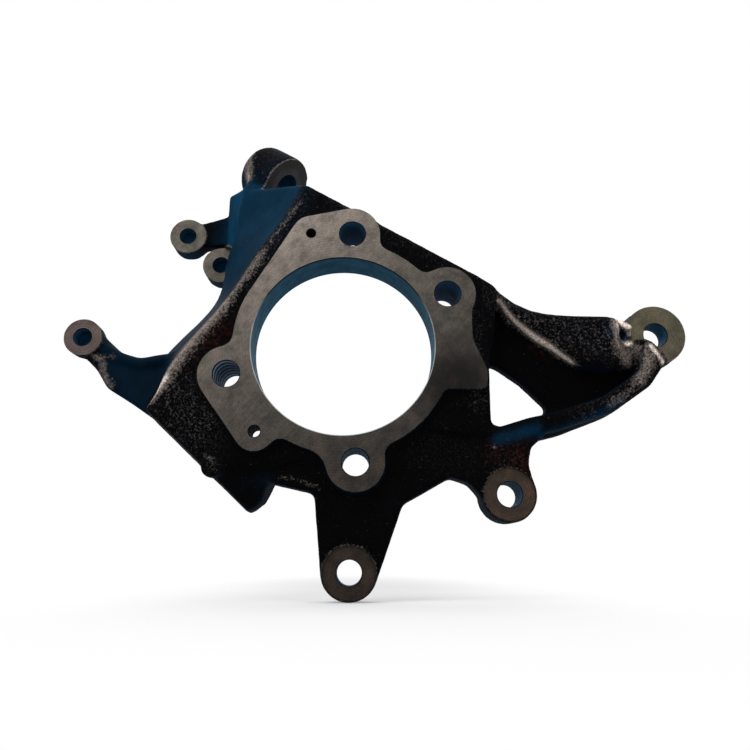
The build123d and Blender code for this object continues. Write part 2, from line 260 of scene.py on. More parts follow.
def bored_iron(name, tone, lit_lip_width=0.0, scored=None):
    """Grey iron bored or drilled: dark blue and matt, with feed marks round the hole. Where a width
    is given for the broken edge at the hub face, in mm, that edge gets a painted highlight low down
    and on the sides and a painted shadow above. The hole at the scored place has pale score marks.
    Real feed marks are 0.15 mm apart and real score marks 1.75, drawn at 0.9 and 5, which still show
    down the hole."""
    material, add, place = new_material(name)
    marks = add("ShaderNodeTexWave", {
        "Vector": place, "Scale": wave_scale(0.9), "Distortion": 0.6, "Detail": 2.0,
        "Detail Scale": 0.5}, wave_type="BANDS", bands_direction="Y").outputs["Fac"]
    cloud = add("ShaderNodeTexNoise", {
        "Vector": place, "Scale": per_metre(6), "Detail": 3.0, "Roughness": 0.6}).outputs["Fac"]
    shade = add("ShaderNodeMapRange", {
        "Value": cloud, "From Min": 0.3, "From Max": 0.7,
        "To Min": 0.65, "To Max": 1.3}).outputs["Result"]
    colour = add("ShaderNodeMix", {
        "Factor": 1.0, 6: (*tone, 1), 7: shade}, data_type="RGBA",
        blend_type="MULTIPLY").outputs[2]
    if scored is not None:
        around = add("ShaderNodeMapping", {
            "Vector": place, "Location": (-scored[0], 0.0, -scored[2]),
            "Scale": (1.0, 0.0, 1.0)}).outputs["Vector"]
        gap = add("ShaderNodeVectorMath", {0: around}, operation="LENGTH").outputs["Value"]
        near = add("ShaderNodeMapRange", {
            "Value": gap, "From Min": 8.5 * MM, "From Max": 9 * MM,
            "To Min": 0.75, "To Max": 0.0}).outputs["Result"]
        score = add("ShaderNodeTexWave", {
            "Vector": place, "Scale": wave_scale(5), "Distortion": 1.5},
            wave_type="BANDS", bands_direction="Y").outputs["Fac"]
        score = add("ShaderNodeMapRange", {
            "Value": score, "From Min": 0.55, "From Max": 0.95}).outputs["Result"]
        score = add("ShaderNodeMath", {0: near, 1: score}, operation="MULTIPLY").outputs[0]
        colour = add("ShaderNodeMix", {
            "Factor": score, 6: colour, 7: (*linear("#9dafba"), 1)},
            data_type="RGBA").outputs[2]
    # Painted highlight on the broken edge low down and on the sides, and painted shadow above
    if lit_lip_width > 0:
        parts = add("ShaderNodeSeparateXYZ", {"Vector": place})
        edge = add("ShaderNodeMapRange", {
            "Value": parts.outputs["Y"], "From Min": 0.6 * lit_lip_width * MM, "From Max": lit_lip_width * MM,
            "To Min": 0.85, "To Max": 0.0}).outputs["Result"]
        above = add("ShaderNodeMapRange", {
            "Value": parts.outputs["Z"], "From Min": 8 * MM,
            "From Max": 26 * MM}).outputs["Result"]
        lip_light_and_shade = add("ShaderNodeMix", {
            "Factor": above, 6: (*linear("#a3a6a6"), 1), 7: (*linear("#05070a"), 1)},
            data_type="RGBA").outputs[2]
        edge = add("ShaderNodeMath", {0: edge, 1: shade}, operation="MULTIPLY").outputs[0]
        colour = add("ShaderNodeMix", {
            "Factor": edge, 6: colour, 7: lip_light_and_shade}, data_type="RGBA").outputs[2]
    surface(add, colour, 0.7, marks, strength=0.2, depth=0.08, metallic=0.0, specular=0.03)
    return material


def point_of(name):
    return np.array(MOUNTS[name]["pos_m"])


def bores():
    """Each bore's name, the middle of its face, its axis, its radius and its length."""
    for name, mount in MOUNTS.items():
        if mount["kind"] == "bore":
            face, axis = Vector(mount["pos_m"]), Vector(mount["axis"])
            length = mount["dims"]["length_mm"] * MM
            if name == "joint_bore":
                face = face + axis * length / 2
            yield name, face, axis, mount["dims"]["r_mm"] * MM, length


def joint_place():
    """The middle of the joint bore, its axis and half its length."""
    mount = MOUNTS["joint_bore"]
    return Vector(mount["pos_m"]), Vector(mount["axis"]), mount["dims"]["length_mm"] * MM / 2


def add_rod(bm, start, end, radius, end_radius=None, slot=0, sides=96, flat=None):
    """Add a closed round rod between two points, or a cone where its end has its own radius.
    A flat is a direction and a distance from the axis, beyond which the rod is cut away."""
    start, end = Vector(start), Vector(end)
    turn = (end - start).to_track_quat("Z", "Y")
    rims = []
    for centre, r in ((start, radius), (end, radius if end_radius is None else end_radius)):
        rims.append([
            bm.verts.new(centre + turn @ Vector((
                r * math.cos(2 * math.pi * i / sides), r * math.sin(2 * math.pi * i / sides), 0)))
            for i in range(sides)])
    if flat:
        for centre, rim in zip((start, end), rims):
            for vert in rim:
                over = (vert.co - centre).dot(flat[0]) - flat[1]
                if over > 0:
                    vert.co -= flat[0] * over
    low, high = rims
    faces = [bm.faces.new(low[::-1]), bm.faces.new(high)]
    for i in range(sides):
        j = (i + 1) % sides
        faces.append(bm.faces.new((low[i], low[j], high[j], high[i])))
    for face in faces:
        face.material_index = slot


def new_object(name, mesh):
    thing = bpy.data.objects.new(name, mesh)
    bpy.context.scene.collection.objects.link(thing)
    return thing


def apply_modifiers(thing):
    """Turn the object and its modifiers into one plain mesh."""
    evaluated = thing.evaluated_get(bpy.context.evaluated_depsgraph_get())
    mesh = bpy.data.meshes.new_from_object(evaluated)
    thing.modifiers.clear()
    old = thing.data
    thing.data = mesh
    bpy.data.meshes.remove(old)


def run_nodes(thing, tree, values):
    """Run Geometry Nodes on the object, with these values for their named inputs."""
    modifier = thing.modifiers.new("nodes", "NODES")
    modifier.node_group = tree
    for item in tree.interface.items_tree:
        if item.name in values:
            modifier[item.identifier] = values[item.name]
    apply_modifiers(thing)


def soften(thing, rounds, group=""):
    """Smooth the whole skin, or as much of it as a vertex group says."""
    modifier = thing.modifiers.new("rounding", "SMOOTH")
    modifier.factor = 0.5
    modifier.iterations = rounds
    modifier.vertex_group = group
    apply_modifiers(thing)


def discard(thing):
    mesh = thing.data
    bpy.data.objects.remove(thing)
    bpy.data.meshes.remove(mesh)


def grid_of(mesh):
    co = np.zeros(len(mesh.vertices) * 3, np.float32)
    mesh.vertices.foreach_get("co", co)
    return co.reshape(-1, 3)


def set_mask(mesh, name, values):
    layer = mesh.attributes.get(name) or mesh.attributes.new(name, "FLOAT", "POINT")
    layer.data.foreach_set("value", np.maximum(values, 0).astype(np.float32))


def distance_to_path(points, path):
    """Distance from each point to a polyline, all in metres."""
    best = np.full(len(points), 1e9)
    for a, b in zip(path, path[1:] or path):
        a, b = np.array(a), np.array(b)
        t = np.clip((points - a) @ (b - a) / max((b - a) @ (b - a), 1e-12), 0, 1)
        best = np.minimum(best, np.linalg.norm(points - (a + t[:, None] * (b - a)), axis=1))
    return best


def smoothstep(low, high, values):
    t = np.clip((values - low) / (high - low), 0, 1)
    return t * t * (3 - 2 * t)


# Lugs that are faced flat: the mount in the lug, the radius of the stock cast on it, the radius that
# the cutter faces, and for a lug faced behind too the length between its faces, all in mm, then the
# colour of the face and how rusty it is. The faces of the low and side caliper lugs are darker as
# painted shade.
LUGS = (
    ("caliper_hole_low", 12.0, 12.5, 18.0, "#261e19", 0.0),
    ("caliper_hole_side", 12.0, 12.5, 18.0, "#30261f", 0.5),
    ("link_hole", 15.2, 15.9, 12.0, "#454133", 0.12),
    ("bracket_hole_upper", 10.1, 10.4, None, "#45413a", 0.0),
    ("bracket_hole_inner", 10.1, 10.4, None, "#45413a", 0.0),
    ("hose_hole", 9.5, 9.8, None, "#423835", 0.0),
)
# The end of the rib stands in front of the link lug's face. The face is what two cuts leave,
# each a radius less than the lug's, mm, and a flat on its side towards the rib
RIB_CUTS = ((0.0, (Vector((-0.731, 0.0, -0.682)), 7.0 * MM)),
            (2.6, (Vector((0.0, 0.0, -1.0)), 3.2 * MM)))
BLIND = ("sensor_hole", "bracket_hole_upper", "bracket_hole_inner", "hose_hole")
# Bosses faced behind: the mount, the radius, and how far behind the hub face the back lies, mm
BOSSES = (("hub_bolt_hole_top", 11.0, 29.5), ("hub_bolt_hole_right", 11.0, 29.5))
# The way out of the hub face
OUT = Vector((0, -1, 0))
# Sizes in mm. A margin is how much wider or longer a plug, a piece of stock or a tool is than
# what it fills, backs or cuts
HUB_DEPTH = 21.5
HUB_RELIEF = 4.7
RELIEF_OVERCUT = 0.5
HUB_CHAMFER = 0.8
JOINT_BOSS_RADIUS = 17.0
JOINT_STOCK = 1.0
PLUG_MARGIN = 0.4
BACK_MARGIN = 0.6
BACK_TOOL_MARGIN = 0.8
FACING_MARGIN = 1.5
DRILL_OVERRUN = 3.0
OILED_HOLE_RADIUS = 3.0
WAVE_SIZE = 26.0
GRAIN_SIZE = 2.6
# A distance too small to see, in mm, that keeps two surfaces from lying in one place
HAIR = 0.001
DRILL_SIDES = 96
BORE_SIDES = 256
SOFT_ROUNDS = 30
CRISP_ANGLE = math.radians(25)

# The ridge between the front skin and the flank: x and z in mm
RIDGE = ((-12, 104), (-20.5, 86.5), (-28.3, 70), (-42, 50), (-54.5, 29), (-68.5, 10),
         (-82.3, -8), (-94.5, -24), (-95.8, -28), (-94, -36))
# The drafted underside of the arm's flange: x, z at its front edge and z at its foot, mm
FLANGE_DRAFT = ((77, 33, 27.5), (79.5, 27.4, 24), (82.6, 21.6, 19.4), (85.6, 17.4, 15.8),
                (88.8, 14.4, 12.4), (92.1, 12, 8.9), (97, 8.7, 4.4), (101.8, 5.2, 1.3),
                (107, 0.2, -1.4), (114, -5.6, -6))
FLANGE_FRONT = 4.0
ARM_WEB_FRONT = 15.0

# What hands and tools have done to the skin, and the light painted on it. Each row is a path in mm,
# a half width and a strength. Rubbed down to the iron, and from 1 to 3 also a painted highlight,
# brighter the stronger
WORN_AND_LIT = (
    (((-23, 4, 77), (-31, 4, 65), (-42, 4, 48)), 2.0, 0.5),
    (((-42, 4, 48), (-48, 4, 38.5), (-59, 4, 23.5)), 3.2, 0.85),
    (((-59, 4, 23.5), (-66, 4, 13.5), (-75.5, 4, 1), (-85.5, 4, -13.5), (-93, 5, -24)), 4.4, 1.1),
    (((-86, 4, -16), (-93, 5, -26)), 3.6, 1.6),
    (tuple((x, 9.5, (edge + foot) / 2) for x, edge, foot in FLANGE_DRAFT), 3.3, 1.95),
    (((113, 9.5, -5.6), (117, 9, -8)), 2.2, 0.8),
    (((137, 7, 15.6), (141, 8, 14.5), (144.5, 9, 13)), 2.4, 2.5),
    (((137, 6, 12.6), (137.4, 7, 9.5), (138, 8, 5.8)), 1.7, 2.2),
    (((139, 9, 3.6), (142.5, 10, 3.3), (146, 11, 4.3)), 1.6, 2.2),
    (((135.6, 4.5, 14), (136.6, 4.5, 9.5), (136.4, 5, 4), (137.5, 6, 1)), 2.2, 1.15),
    (((137, 8, 1), (142, 9, -4.5), (145.5, 10, -2)), 5.4, 0.95),
    (((147, 11, 3), (150, 11, 1.5)), 2.5, 0.9),
    (((147.5, 10, 14), (145.5, 10, 9)), 2.2, 1.2),
    (((151, 5, 3), (150.8, 5, -1), (152, 5, -5)), 2.8, 0.9),
    (((152, 5, -5), (150, 5, -10), (146, 4, -16)), 4.2, 0.85),
    (((146, 4, -16), (140, 4, -23), (132, 4, -28)), 3.2, 0.5),
    (((153.5, 5, 1.6), (155.7, 5, -2.5), (158.7, 5, -7.6)), 1.5, 2.0),
    (((156, 5, 3), (160, 5, -1), (162, 6, -6)), 2.0, 0.8),
    (((-54, 36, 120), (-54.5, 34, 113), (-55.5, 34, 106)), 3.6, 1.2),
    (((-125.3, 14, -3.6), (-121, 14, -4.2), (-116.5, 14, -3.6)), 2.2, 0.75),
    (((-120.5, 14, -6.5), (-121, 14, -11), (-119.3, 15, -15), (-116, 15, -18)), 2.6, 0.75),
    (((68, 3, -46.6), (70, 4, -48.5), (73.5, 5, -50)), 1.0, 1.0),
    (((-64.5, 1, -54.5), (-62, 1, -56)), 1.5, 0.7),
    (((-30, 6, -64), (-19, 6, -66), (-11, 6, -69.5)), 1.2, 0.5),
    (((-35, 1, 82), (-30, 1, 70)), 1.0, 0.25),
)
# Sand grain that shows, drawn as painted glints
GRIT_GLINTS = (
    (((-86, 4, -16), (-77, 4, -32), (-70, 4, -42)), 12.0, 0.95),
    (((-26, 4, 82), (-36, 4, 62), (-60, 4, 28), (-76, 4, 4)), 8.0, 0.85),
    (((0, 3, 72), (35, 3, 60), (60, 3, 45)), 10.0, 0.35),
    (((84, 4, 26), (96, 4, 14), (116, 4, 7), (134, 4, 6)), 11.0, 1.1),
    (((62, 3, 26), (64, 4, 0), (66, 4, -28)), 5.0, 0.6),
    (((118, 4, -34), (136, 5, -24), (150, 5, -8)), 7.0, 0.55),
    (((-61.5, 1, -59.5),), 4.5, 0.8),
    (((40, 5, -52), (60, 5, -55)), 12.0, 0.16),
    (((80, 6, -58),), 12.0, 0.35),
    (((-47, 40, 112),), 20.0, 0.3),
)
# Blue: a painted bluish reflection and painted light on sides, undersides and the flank's shoulder,
# and the blue-grey of the smooth flank
BLUE = (
    (((-60, 36, 100), (-62, 36, 88), (-65, 37, 72)), 9.0, 0.85),
    (((-40, 10, 96), (-44, 20, 70)), 16.0, 0.5),
    (((75, 6, -45.5), (84, 6, -43.5), (94, 6, -41)), 2.6, 0.65),
    (((96, 6, -44.5), (106, 6, -41.5), (117, 6, -38), (129, 6, -32), (136, 6, -27)), 2.4, 0.4),
    (((-48, 5, -72), (-42, 6, -77), (-38, 6, -70)), 5.0, 0.22),
    (((-36, 40, 127), (-28, 40, 122), (-24.5, 40, 116)), 6.0, 0.5),
    (((-90, 50, 66), (-72, 50, 50)), 8.0, 0.4),
    (((-94, 42, 63), (-87, 42, 60.5), (-80, 42, 62)), 4.0, 1.0),
    (((-76, 42, 47), (-69, 42, 44.5)), 4.0, 0.9),
    (((-133, 20, -9), (-127, 20, -12)), 4.0, 0.35),
    (((137, 5, 9), (141, 8, 8)), 4.0, 0.6),
)
RUST = (
    (((86, 6, -56),), 9.0, 0.6),
    (((74, 6, -52),), 6.0, 0.35),
    (((96, 14, 3), (104, 14, -3)), 2.0, 0.5),
    (((-70, 4, -2), (-58, 2, 8)), 7.0, 0.35),
    (((141, 8, -2),), 5.0, 0.35),
)
# Forms that the sand left softer than the rest
SOFT = (
    (((79, 6, 27), (84, 6, 18), (91, 6, 12), (102, 6, 4.5), (110, 6, -2)), 5.0, 0.8),
    (((-59, 35, 103), (-57, 36, 110), (-66, 38, 101)), 9.0, 1.0),
    (((75, 4, 33),), 5.0, 1.0),
    (((-128, 14, 1), (-119, 14, -4), (-103, 14, -5), (-92, 14, -4)), 5.0, 0.8),
    (((-124, 14, -2), (-120, 14, -11), (-116, 14, -17)), 5.0, 0.8),
    (((152, 5, -2), (155, 5, -8), (151, 5, -14)), 5.0, 0.7),
    (((-65.5, 1, -58), (-62.5, 1, -63)), 4.5, 0.9),
    (((-35, 4, -75), (-34.5, 28, -77)), 6.0, 1.0),
    (((-43, 4, -80.5), (-43, 30, -82)), 3.5, 0.7),
    (((-13.5, 4, -72), (-13.5, 22, -73)), 5.0, 1.0),
    (((29.5, 4, -77), (29.5, 22, -78)), 7.0, 1.0),
)


class KnuckleProperties(bpy.types.PropertyGroup):
    skin_step: FloatProperty(
        name="Skin step", description="Cell size that the cast skin is rebuilt with",
        default=0.985 * MM, min=0.6 * MM, max=3 * MM, unit="LENGTH", precision=5)
    cast_rounds: IntProperty(
        name="Cast rounding", description="Smoothing passes that round the cast edges",
        default=9, min=0, max=40)
    facing_stock: FloatProperty(
        name="Facing stock", description="Iron cast in front of each seat for the cutter to face",
        default=4.0 * MM, min=0.0, max=6 * MM, unit="LENGTH", precision=5)
    wave_height: FloatProperty(
        name="Skin waviness", description="Height of the slow waves of the cast skin",
        default=0.35 * MM, min=0.0, max=2 * MM, unit="LENGTH", precision=5)
    grain_height: FloatProperty(
        name="Sand grain", description="Height of the sand grain of the cast skin",
        default=0.22 * MM, min=0.0, max=1 * MM, unit="LENGTH", precision=5)
    hole_chamfer: FloatProperty(
        name="Hole chamfer", description="Width of the broken edge round each drilled hole",
        default=0.4 * MM, min=0.0, max=2 * MM, unit="LENGTH", precision=5)
    coat_colour: FloatVectorProperty(
        name="Black coat", description="Colour of the coated cast skin", subtype="COLOR",
        default=linear("#020203"), min=0, max=1)
    # The blue of the flank, also used for the painted bluish reflection on sides and undersides
    flank_and_sheen_colour: FloatVectorProperty(
        name="Clean iron", description="Colour of the smooth flank, where the coat is thin",
        subtype="COLOR", default=linear("#063854"), min=0, max=1)
    # Painted glints: the sand grain drawn lighter
    grain_glint_colour: FloatVectorProperty(
        name="Sand grain", description="Colour of the sand grain that catches the light",
        subtype="COLOR", default=linear("#3d3a3c"), min=0, max=1)
    # Also the base colour of the painted highlights on the ridges
    bare_colour: FloatVectorProperty(
        name="Worn iron", description="Colour of the iron where the coat is rubbed off",
        subtype="COLOR", default=linear("#675f5a"), min=0, max=1)
    rust_colour: FloatVectorProperty(
        name="Rust", description="Colour of the rust on the skin", subtype="COLOR",
        default=linear("#331208"), min=0, max=1)
    face_colour: FloatVectorProperty(
        name="Faced iron", description="Colour of the machined faces", subtype="COLOR",
        default=linear("#443f3a"), min=0, max=1)
    bore_colour: FloatVectorProperty(
        name="Bored iron", description="Colour of the wall of the hub bore",
        subtype="COLOR", default=linear("#1e475d"), min=0, max=1)
    drilled_colour: FloatVectorProperty(
        name="Drilled iron", description="Colour of the walls of the drilled holes",
        subtype="COLOR", default=linear("#1a4360"), min=0, max=1)


def new_tree(name, inputs):
    """Geometry Nodes with these inputs after the geometry, a way to add nodes, and the inputs."""
    tree = bpy.data.node_groups.new(name, "GeometryNodeTree")
    for label, kind in (("Geometry", "Geometry"), *inputs):
        tree.interface.new_socket(label, in_out="INPUT", socket_type="NodeSocket" + kind)
    tree.interface.new_socket("Geometry", in_out="OUTPUT", socket_type="NodeSocketGeometry")
    add = partial(add_node, tree)
    return tree, add, add("NodeGroupInput").outputs


def end_tree(add, geometry, material):
    """End Geometry Nodes: the instances made real, and their material."""
    real = add("GeometryNodeRealizeInstances", {"Geometry": geometry})
    coated = add("GeometryNodeSetMaterial", {"Geometry": real.outputs[0], "Material": material})
    add("NodeGroupOutput", {"Geometry": coated.outputs[0]})


def drill_tree(material):
    """Geometry Nodes that put one drill at each point: its axis, radius and length are the
    point's attributes, and its number of sides is an input."""
    tree, add, source = new_tree("drill_set", (("Drill sides", "Int"),))
    drill = add("GeometryNodeMeshCylinder", {
        "Vertices": source["Drill sides"], "Radius": 1.0, "Depth": 1.0})
    axis, radius, length = (
        add("GeometryNodeInputNamedAttribute", {"Name": name}, data_type=kind).outputs["Attribute"]
        for name, kind in (("axis", "FLOAT_VECTOR"), ("radius", "FLOAT"), ("length", "FLOAT")))
    turn = add("FunctionNodeAlignRotationToVector", {"Vector": axis}, axis="Z")
    size = add("ShaderNodeCombineXYZ", {"X": radius, "Y": radius, "Z": length})
    placed = add("GeometryNodeInstanceOnPoints", {
        "Points": source["Geometry"], "Instance": drill.outputs["Mesh"],
        "Rotation": turn.outputs["Rotation"], "Scale": size.outputs["Vector"]})
    end_tree(add, placed.outputs[0], material)
    return tree


def drills(name, rods, material):
    """Mesh object of round rods: each is (centre, axis, radius, length) in metres."""
    mesh = bpy.data.meshes.new(name)
    mesh.from_pydata([tuple(rod[0]) for rod in rods], [], [])
    for key, kind, column in (("axis", "FLOAT_VECTOR", 1), ("radius", "FLOAT", 2),
                              ("length", "FLOAT", 3)):
        layer = mesh.attributes.new(key, kind, "POINT")
        values = np.array([rod[column] for rod in rods], np.float32).ravel()
        layer.data.foreach_set("vector" if column == 1 else "value", values)
    thing = new_object(name, mesh)
    run_nodes(thing, drill_tree(material), {"Drill sides": DRILL_SIDES})
    return thing


def skin_tree():
    """Geometry Nodes that give the cast skin its slow waves and its sand grain, which smooth
    places go without."""
    tree, add, source = new_tree("sand_cast_skin", (
        ("Wave height", "Float"), ("Wave size", "Float"), ("Grain height", "Float"),
        ("Grain size", "Float"), ("Material", "Material")))
    place = add("GeometryNodeInputPosition").outputs[0]
    normal = add("GeometryNodeInputNormal").outputs[0]
    smooth = add("GeometryNodeInputNamedAttribute", {"Name": "smooth"},
                 data_type="FLOAT").outputs["Attribute"]
    heights = []
    for kind, seed in (("Wave", 3.0), ("Grain", 11.0)):
        rate = add("ShaderNodeMath", {0: 1.0, 1: source[kind + " size"]},
                   operation="DIVIDE").outputs[0]
        noise = add("ShaderNodeTexNoise", {
            "Vector": place, "W": seed, "Scale": rate, "Detail": 2.0}, noise_dimensions="4D")
        level = add("ShaderNodeMath", {0: noise.outputs["Fac"], 1: 0.5},
                    operation="SUBTRACT").outputs[0]
        heights.append(add("ShaderNodeMath", {0: level, 1: source[kind + " height"]},
                           operation="MULTIPLY").outputs[0])
    wave, grain = heights
    rough = add("ShaderNodeMath", {0: 1.0, 1: smooth}, operation="SUBTRACT").outputs[0]
    grain = add("ShaderNodeMath", {0: grain, 1: rough}, operation="MULTIPLY").outputs[0]
    rise = add("ShaderNodeMath", {0: grain, 1: wave}, operation="ADD").outputs[0]
    shift = add("ShaderNodeVectorMath", {0: normal, "Scale": rise}, operation="SCALE")
    moved = add("GeometryNodeSetPosition", {
        "Geometry": source["Geometry"], "Offset": shift.outputs[0]})
    end_tree(add, moved.outputs[0], source["Material"])
    return tree


def left_of_ridge(points):
    """How far each point lies outside the ridge line towards the flank, in metres."""
    heights = np.array([z for x, z in RIDGE[::-1]]) * MM
    places = np.array([x for x, z in RIDGE[::-1]]) * MM
    return np.interp(points[:, 2], heights, places) - points[:, 0]


class KNUCKLE_OT_cast_body(bpy.types.Operator):
    """Cast the body: the shape with its holes filled and stock on its seats, its edges
    rounded as a sand mould leaves them, and the grain of the sand"""
    bl_idname = "knuckle.cast_body"
    bl_label = "Cast body"

    def execute(self, context):
        props = context.scene.knuckle
        stock = props.facing_stock
        source = frame["nodes"][CASTING_NODE].data
        bm = bmesh.new()
        bm.from_mesh(source)
        bmesh.ops.remove_doubles(bm, verts=bm.verts, dist=HAIR * MM)
        bmesh.ops.delete(bm, geom=[v for v in bm.verts if not v.link_faces], context="VERTS")

        # The stock in front of the hub face: its flat faces, copied and raised
        flat = [f for f in bm.faces if f.normal.y < -0.999
                and max(v.co.y for v in f.verts) < 0.02 * MM]
        raised = bmesh.ops.duplicate(bm, geom=flat)
        faces = [g for g in raised["geom"] if isinstance(g, bmesh.types.BMFace)]
        grown = bmesh.ops.extrude_face_region(bm, geom=faces)
        for item in grown["geom"]:
            if isinstance(item, bmesh.types.BMVert):
                item.co.y -= stock
        bmesh.ops.reverse_faces(bm, faces=faces)
        for vert in {v for f in faces for v in f.verts}:
            vert.co.y += stock

        # Stock on the lugs and the bosses, and plugs in every hole
        for name, radius, _, span, *_ in LUGS:
            face = Vector(point_of(name))
            for less, flat in RIB_CUTS if name == "link_hole" else ((0, None),):
                add_rod(bm, face - OUT * stock, face + OUT * stock, (radius - less) * MM,
                        flat=flat)
            if span:
                back = face - OUT * span * MM
                add_rod(bm, back - OUT * stock, back + OUT * stock, (radius + BACK_MARGIN) * MM)
        for name, radius, span in BOSSES:
            back = Vector(point_of(name)) - OUT * span * MM
            add_rod(bm, back - OUT * stock, back + OUT * stock, radius * MM)
        for name, face, axis, radius, length in bores():
            depth = HUB_DEPTH * MM if name == "hub_bore" else length
            front = 0.0 if name == "joint_bore" else stock
            add_rod(bm, face - axis * depth, face + axis * front, radius + PLUG_MARGIN * MM)
        joint, axis, half = joint_place()
        add_rod(bm, joint - axis * (half + JOINT_STOCK * MM), joint - axis * (half - stock),
                JOINT_BOSS_RADIUS * MM)
        bmesh.ops.recalc_face_normals(bm, faces=bm.faces)
        mesh = bpy.data.meshes.new("cast_body")
        bm.to_mesh(mesh)
        bm.free()
        body = new_object("cast_body", mesh)

        rebuild(body, props.skin_step)
        cut(body, flange_draft())
        cut(body, lug_hollow())
        rebuild(body, props.skin_step)
        soften(body, props.cast_rounds)

        # The softer forms, and with them the rim of the joint boss
        side = axis.orthogonal().normalized()
        rim = [joint - axis * half + (side * math.cos(turn) + axis.cross(side) * math.sin(turn))
               * JOINT_BOSS_RADIUS * MM for turn in np.linspace(0, 2 * math.pi, 25)]
        rim = tuple(tuple(c / MM for c in point) for point in rim)
        points = grid_of(body.data).astype(float)
        group = body.vertex_groups.new(name="soft")
        weights = painted(points, SOFT + ((rim, 3.5, 1.0),))
        for index in np.nonzero(weights > 0.05)[0]:
            group.add([int(index)], float(weights[index]), "REPLACE")
        soften(body, SOFT_ROUNDS, group.name)
        body.vertex_groups.clear()

        points = grid_of(body.data).astype(float)
        set_mask(body.data, "smooth", flank_mask(points))
        run_nodes(body, skin_tree(), {
            "Wave height": props.wave_height, "Wave size": WAVE_SIZE * MM,
            "Grain height": props.grain_height, "Grain size": GRAIN_SIZE * MM,
            "Material": cast_skin(props)})
        return {"FINISHED"}


def rebuild(body, step):
    """Join the overlapping shapes of the body into one closed skin of even cells."""
    remesh = body.modifiers.new("skin", "REMESH")
    remesh.mode = "VOXEL"
    remesh.voxel_size = step
    remesh.use_smooth_shade = True
    apply_modifiers(body)


def flange_draft():
    """The wedge of sand under the arm's flange, which gives its underside its slope."""
    bm = bmesh.new()
    rings = []
    for x, edge, foot in FLANGE_DRAFT:
        rise = (edge - foot) / (ARM_WEB_FRONT - FLANGE_FRONT)
        profile = ((FLANGE_FRONT - 5, edge + 5 * rise), (ARM_WEB_FRONT, foot),
                   (ARM_WEB_FRONT, foot - 3), (FLANGE_FRONT - 5, foot - 3))
        rings.append([bm.verts.new((x * MM, y * MM, z * MM)) for y, z in profile])
    for low, high in zip(rings, rings[1:]):
        for i in range(4):
            j = (i + 1) % 4
            bm.faces.new((low[i], low[j], high[j], high[i]))
    bm.faces.new(rings[0])
    bm.faces.new(rings[-1][::-1])
    return finish_cutter("flange_draft", bm)


def lug_hollow():
    """The small hollow between the end of the flange and the link lug."""
    bm = bmesh.new()
    ball = bmesh.ops.create_icosphere(bm, subdivisions=4, radius=1.0)
    x, y, z = 141.2, 8.5, 8.4
    width, depth, height, lean = 2.6, 5.0, 3.4, 0.8
    for vert in ball["verts"]:
        vert.co = Vector((x + vert.co.x * width + vert.co.z * lean, y + vert.co.y * depth,
                          z + vert.co.z * height)) * MM
    return finish_cutter("lug_hollow", bm)


def painted(points, table):
    """What the strongest of the table's rows gives at each point: its strength on its path, and
    less away from it."""
    level = np.zeros(len(points))
    for path, width, strength in table:
        gap = distance_to_path(points, [tuple(c * MM for c in p) for p in path])
        level = np.maximum(level, strength * np.exp(-(gap / (width * MM)) ** 2))
    return level


def flank_mask(points):
    """Where the skin is smooth: the flank, the shoulder beside it and the hose web."""
    beside = smoothstep(0.5 * MM, 4.5 * MM, left_of_ridge(points))
    shallow = 1 - smoothstep(40 * MM, 43 * MM, points[:, 1])
    inside = 1 - smoothstep(-121 * MM, -125 * MM, points[:, 0])
    arm = smoothstep(36 * MM, 40 * MM, points[:, 1]) * smoothstep(-66 * MM, -68.5 * MM,
                                                                 points[:, 0])
    boss = smoothstep(101 * MM, 104 * MM, points[:, 2] + 0.3 * (points[:, 0] + 50 * MM))
    return beside * shallow * inside * (1 - arm) * (1 - boss)


